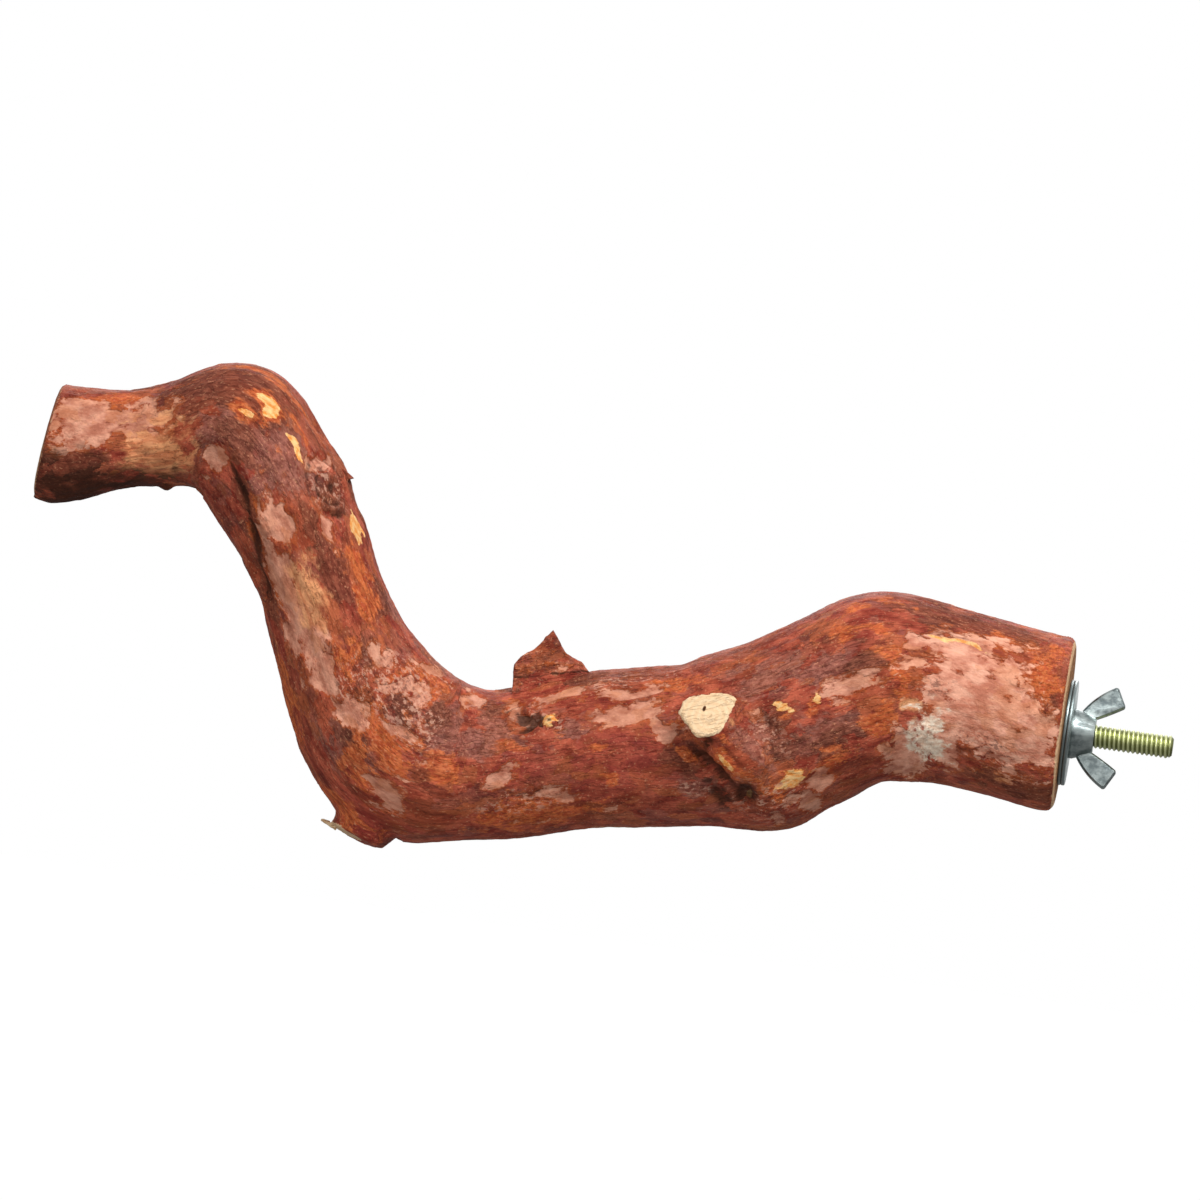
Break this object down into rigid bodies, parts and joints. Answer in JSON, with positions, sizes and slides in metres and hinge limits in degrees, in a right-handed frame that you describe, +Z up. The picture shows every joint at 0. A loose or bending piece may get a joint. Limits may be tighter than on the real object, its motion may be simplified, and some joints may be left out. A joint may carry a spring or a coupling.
{
  "type": "branch bird perch",
  "caption": "Crooked natural branch perch that bolts to a cage wall with a hanger bolt, washers and a wing nut.",
  "frame": {"origin": "on the bolt's axis, at the outer face of the inner washer, where a cage wall is clamped", "axes": "+X out of the butt along the bolt, +Z up, -Y the side with the pruned twig"},
  "size_m": [0.3154, 0.0581, 0.1262],
  "materials": {
    "bark": "satin, flaking",
    "bare_wood": "matte, sawn",
    "yellow_zinc": "yellow zinc plated",
    "bright_zinc": "zinc plated",
    "forged_zinc": "zinc plated, forged"
  },
  "bodies": {
    "perch": {"branch": "bark", "bark_flap": "bark", "bark_chip": "bark", "heel_splinter": "bare_wood", "hanger_bolt": "yellow_zinc", "inner_washer": "bright_zinc"},
    "clamp_washer": {"outer_washer": "bright_zinc"},
    "thumb_nut": {"wing_nut": "forged_zinc"}
  },
  "joints": [
    {"name": "outer_washer_slide", "type": "slide", "parent": "perch", "child": "clamp_washer", "axis": [1, 0, 0], "range_m": [0, 0.0204]},
    {"name": "wing_nut_turn", "type": "hinge", "parent": "clamp_washer", "child": "thumb_nut", "pos_m": [0, 0, 0], "axis": [1, 0, 0], "range_deg": [0, 5760]}
  ],
  "couplings": [
    {"joint": "outer_washer_slide", "follows": "wing_nut_turn", "m_per_rad": 0.00020213}
  ]
}
